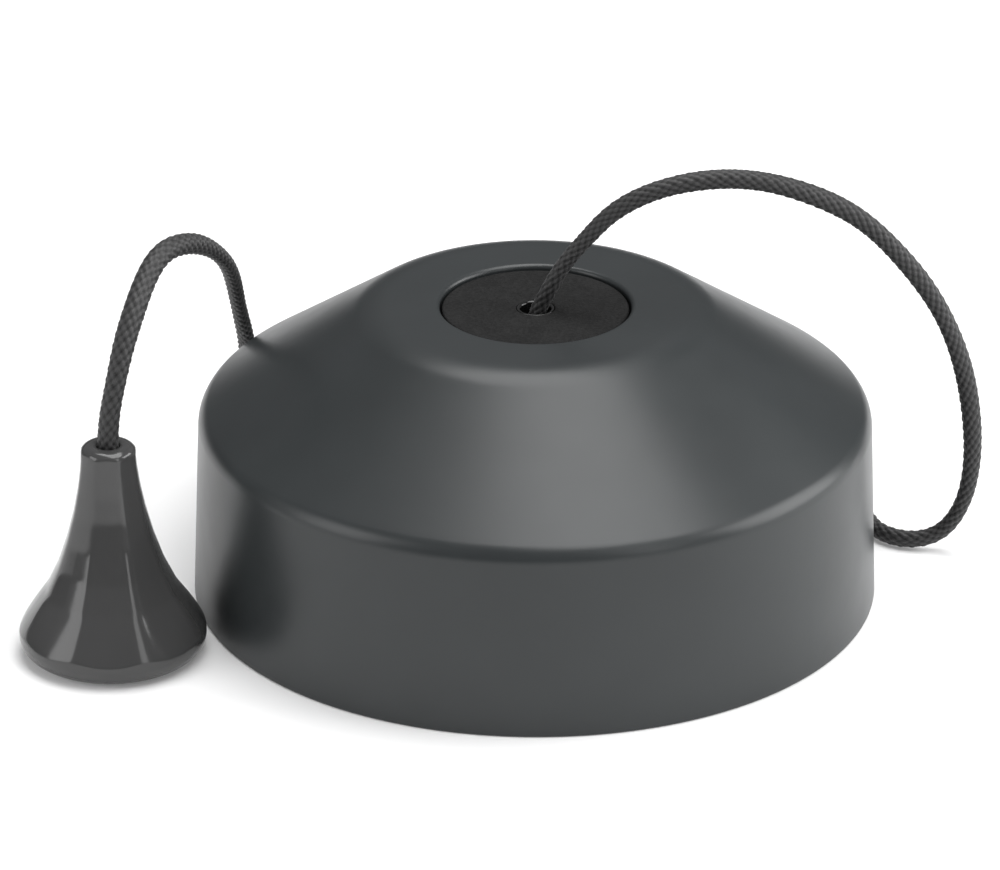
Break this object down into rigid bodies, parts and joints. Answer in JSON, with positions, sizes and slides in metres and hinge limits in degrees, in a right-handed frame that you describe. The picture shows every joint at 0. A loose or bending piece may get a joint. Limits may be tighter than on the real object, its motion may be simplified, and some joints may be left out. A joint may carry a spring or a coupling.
{
  "type": "ceiling pull cord switch",
  "caption": "Round domed metal ceiling switch worked by a braided pull cord with a faceted bell-shaped pull.",
  "frame": {"origin": "centre of the ceiling face, on the back plate", "axes": "+Z out of the ceiling face, along the cord's exit; +X to the right and -Y towards the viewer as it lies on a bench with the cord side up"},
  "size_m": [0.1234, 0.1289, 0.0565],
  "materials": {
    "anthracite_paint": "satin",
    "black_moulding": "matt, fine grain",
    "gloss_black": "gloss",
    "grey_moulding": "matt",
    "gloss_grey": "gloss",
    "acetal_white": "satin",
    "spring_steel": "bright",
    "brass": "bright",
    "silver_contact": "bright",
    "copper_strip": "bright, copper-coloured",
    "zinc_screw": "zinc plated",
    "charcoal_braid": "braided"
  },
  "bodies": {
    "base": {"cover": "anthracite_paint", "locking_ring": "black_moulding", "back_plate": "black_moulding", "switch_housing": "black_moulding", "centre_disc": "black_moulding", "cord_bush": "gloss_black", "housing_screw_left": "zinc_screw", "housing_screw_right": "zinc_screw", "mechanism_frame": "grey_moulding", "plunger_spring": "spring_steel", "holding_pawl": "spring_steel", "rocker_pin": "zinc_screw", "rocker_spring": "spring_steel", "fixed_contact_one": "copper_strip", "fixed_contact_two": "copper_strip", "common_strip": "copper_strip", "terminal_common": "brass", "terminal_one": "brass", "terminal_two": "brass", "terminal_earth": "brass", "terminal_screw_common": "zinc_screw", "terminal_screw_one": "zinc_screw", "terminal_screw_two": "zinc_screw", "terminal_screw_earth": "zinc_screw", "earth_strap": "copper_strip", "terminal_tray": "grey_moulding", "cord_lead": "charcoal_braid", "cord_tail": "charcoal_braid", "cord_coil": "charcoal_braid", "coil_tie": "black_moulding", "bell_knot": "charcoal_braid"},
    "pull": {"cord_plunger": "acetal_white", "drive_pawl": "acetal_white", "inner_knot": "charcoal_braid", "cord_stub": "charcoal_braid"},
    "ratchet": {"ratchet_wheel": "acetal_white", "contact_cam": "grey_moulding", "ratchet_shaft": "zinc_screw"},
    "rocker": {"contact_rocker": "copper_strip", "moving_contact": "silver_contact"},
    "bell": {"bell_pull": "gloss_grey"}
  },
  "joints": [
    {"name": "pull_slide", "type": "slide", "parent": "base", "child": "pull", "axis": [0, 0, 1], "range_m": [0, 0.005], "stiffness_N_per_m": 900, "springref_m": -0.004, "deforming": ["plunger_spring", "cord_lead"]},
    {"name": "ratchet_turn", "type": "hinge", "parent": "base", "child": "ratchet", "pos_m": [0, -0.0076, 0.0155], "axis": [1, 0, 0], "range_deg": [0, 45]},
    {"name": "contact_rock", "type": "hinge", "parent": "base", "child": "rocker", "pos_m": [0, 0.0025, 0.0085], "axis": [-1, 0, 0], "range_deg": [0, 8], "deforming": ["rocker_spring"]},
    {"name": "bell_swivel", "type": "hinge", "parent": "base", "child": "bell", "pos_m": [-0.05345, -0.0199, 0], "axis": [0, 0, 1], "continuous": true}
  ],
  "couplings": [
    {"joint": "ratchet_turn", "follows": "pull_slide", "rad_per_m": 157},
    {"joint": "contact_rock", "follows": "pull_slide", "rad_per_m": 27.7}
  ]
}
